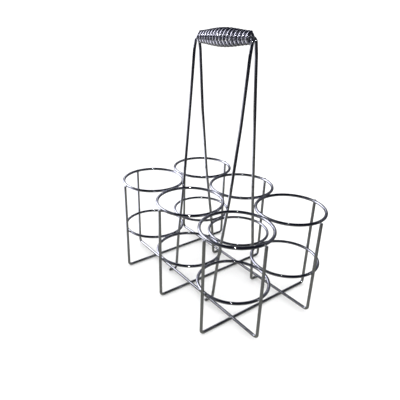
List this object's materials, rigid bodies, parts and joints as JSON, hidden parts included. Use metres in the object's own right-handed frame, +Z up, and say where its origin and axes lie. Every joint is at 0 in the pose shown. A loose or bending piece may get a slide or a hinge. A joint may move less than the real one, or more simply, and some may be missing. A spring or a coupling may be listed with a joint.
{
  "type": "milk bottle crate",
  "caption": "Open wire hand crate for milk bottles: tiers of rings on crossed base wires, with tall handle wires and a turning coil grip.",
  "frame": {"origin": "on the floor under the middle of the crate, at the centre of the bounding box's underside", "axes": "+Z up; +X along the three-bottle side, from rear to front; +Y along the two-bottle side, from left to right"},
  "size_m": [0.278, 0.188, 0.3412],
  "materials": {
    "top_ring_plating": "bright",
    "lower_ring_plating": "bright",
    "long_base_wire_plating": "bright",
    "short_base_wire_plating": "bright",
    "handle_wire_plating": "bright",
    "coil_grip_plating": "bright"
  },
  "bodies": {
    "frame": {"top_ring_rear_left": "top_ring_plating", "top_ring_rear_right": "top_ring_plating", "top_ring_middle_left": "top_ring_plating", "top_ring_middle_right": "top_ring_plating", "top_ring_front_left": "top_ring_plating", "top_ring_front_right": "top_ring_plating", "lower_ring_rear_left": "lower_ring_plating", "lower_ring_rear_right": "lower_ring_plating", "lower_ring_middle_left": "lower_ring_plating", "lower_ring_middle_right": "lower_ring_plating", "lower_ring_front_left": "lower_ring_plating", "lower_ring_front_right": "lower_ring_plating", "long_base_wire_left": "long_base_wire_plating", "long_base_wire_right": "long_base_wire_plating", "short_base_wire_rear": "short_base_wire_plating", "short_base_wire_middle": "short_base_wire_plating", "short_base_wire_front": "short_base_wire_plating", "handle_wire_left": "handle_wire_plating", "handle_wire_right": "handle_wire_plating"},
    "grip": {"coil_grip": "coil_grip_plating"}
  },
  "joints": [
    {"name": "grip_turn", "type": "hinge", "parent": "frame", "child": "grip", "pos_m": [0, 0, 0.33], "axis": [0.9992, 0, 0.04], "continuous": true}
  ]
}
